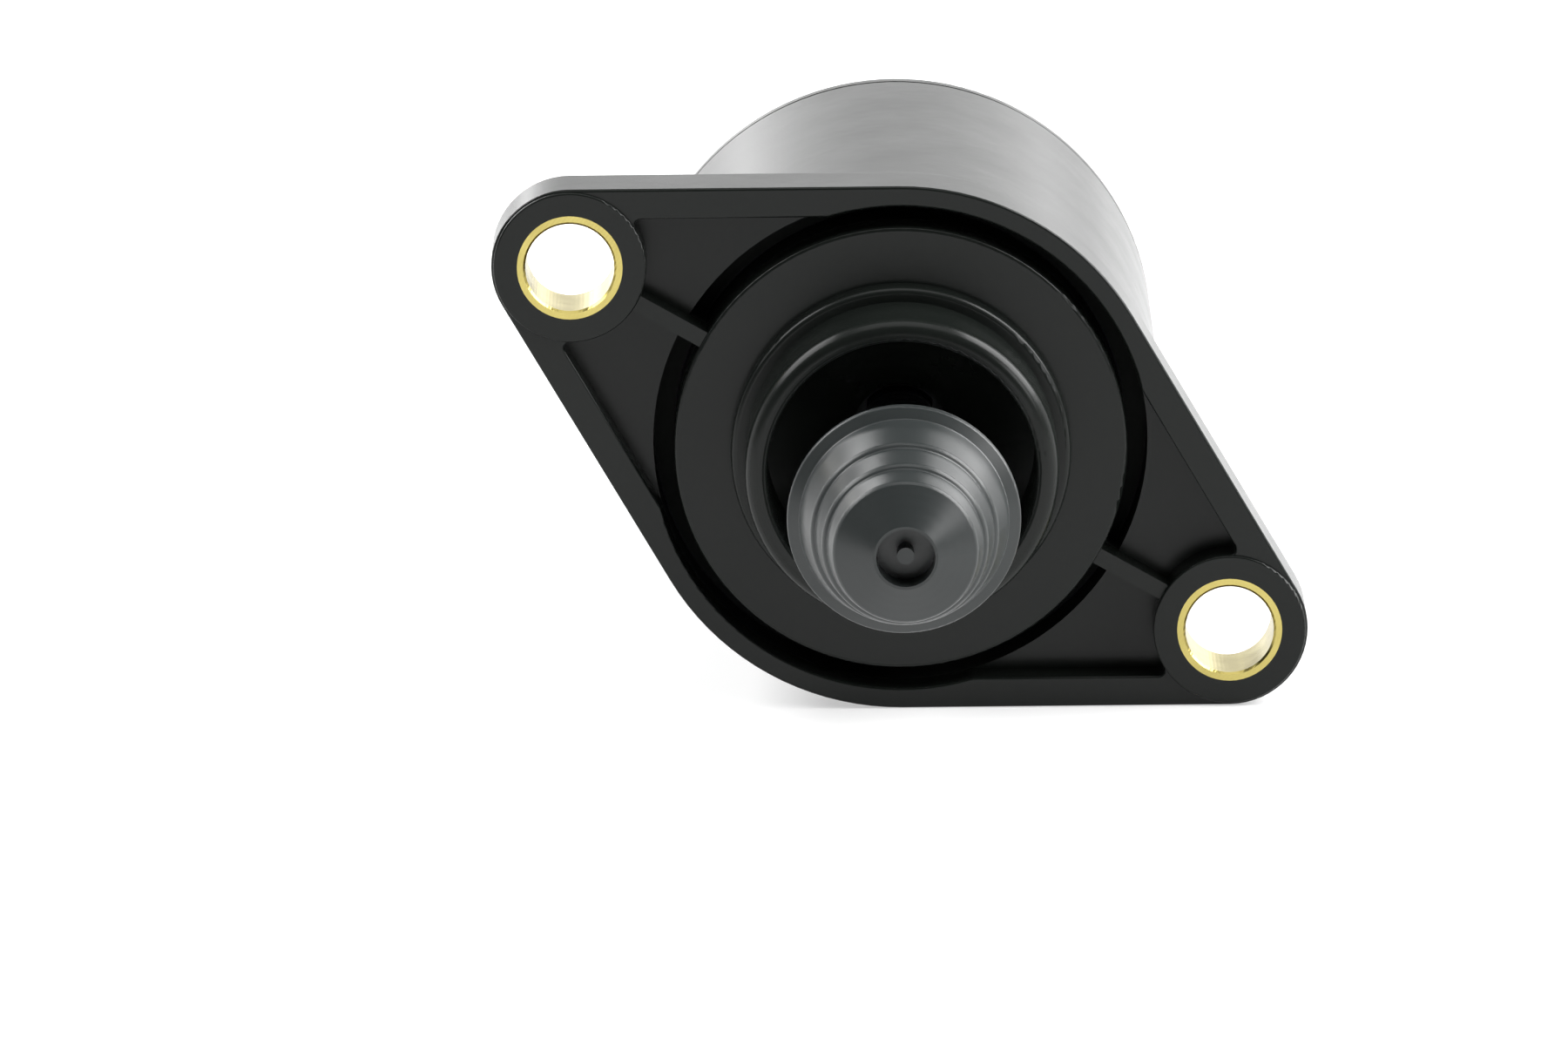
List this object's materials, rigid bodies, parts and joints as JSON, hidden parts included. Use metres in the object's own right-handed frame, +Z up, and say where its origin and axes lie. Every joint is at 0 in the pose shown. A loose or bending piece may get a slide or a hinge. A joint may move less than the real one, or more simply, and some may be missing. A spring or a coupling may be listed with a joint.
{
  "type": "idle air control valve",
  "caption": "Idle air control valve: black moulded body with a diamond flange, brass-lined screw holes, a round spigot, a stepped pintle moved by a stepper motor, and a rear plug socket.",
  "frame": {"origin": "middle of the two screw holes on the mounting plane, on the valve axis", "axes": "-Y along the valve axis out of the mounting face towards the pintle, +Z up with the flange's long edges level, +X to the right seen from the pintle side"},
  "size_m": [0.044, 0.0688, 0.029],
  "materials": {
    "black_nylon": "semi-gloss moulded",
    "brass_sleeve": "turned, bright",
    "grey_acetal": "satin moulded",
    "bright_steel": "ground",
    "spring_steel": "stamped",
    "phosphate_steel": "stamped, phosphated",
    "zinc_steel": "stamped, zinc plated",
    "ferrite": "pressed and ground",
    "bearing_bronze": "sintered",
    "bobbin_nylon": "natural moulded",
    "copper_wire": "enamelled winding",
    "tin_brass": "stamped, tin plated",
    "black_rubber": "moulded"
  },
  "bodies": {
    "housing": {"flange_housing": "black_nylon", "limiter_upper": "brass_sleeve", "limiter_lower": "brass_sleeve", "guide_plate": "phosphate_steel", "bearing_outer_race": "bright_steel", "front_stator_cup": "zinc_steel", "front_stator_plate": "zinc_steel", "front_bobbin": "bobbin_nylon", "front_coil": "copper_wire", "rear_stator_plate": "zinc_steel", "rear_stator_cup": "zinc_steel", "rear_bobbin": "bobbin_nylon", "rear_coil": "copper_wire", "preload_spring": "spring_steel", "rear_bush": "bearing_bronze", "rear_cover": "black_nylon", "cover_seal": "black_rubber", "terminal_pin_1": "tin_brass", "terminal_pin_2": "tin_brass", "terminal_pin_3": "tin_brass", "terminal_pin_4": "tin_brass"},
    "rotor": {"rotor_magnet": "ferrite", "rotor_hub": "bearing_bronze", "bearing_inner_race": "bright_steel"},
    "ball_set": {"bearing_balls": "bright_steel", "bearing_cage": "spring_steel"},
    "plunger": {"pintle": "grey_acetal", "lead_screw": "bright_steel"}
  },
  "joints": [
    {"name": "rotor_spin", "type": "hinge", "parent": "housing", "child": "rotor", "pos_m": [0, 0.0181, 0], "axis": [0, -1, 0], "range_deg": [-2160, 1080]},
    {"name": "pintle_slide", "type": "slide", "parent": "housing", "child": "plunger", "axis": [0, -1, 0], "range_m": [-0.006, 0.003]},
    {"name": "ball_orbit", "type": "hinge", "parent": "housing", "child": "ball_set", "pos_m": [0, 0.00865, 0], "axis": [0, -1, 0], "range_deg": [-881, 441]}
  ],
  "couplings": [
    {"joint": "pintle_slide", "follows": "rotor_spin", "m_per_rad": 0.00015915},
    {"joint": "ball_orbit", "follows": "rotor_spin", "ratio": 0.40762}
  ]
}
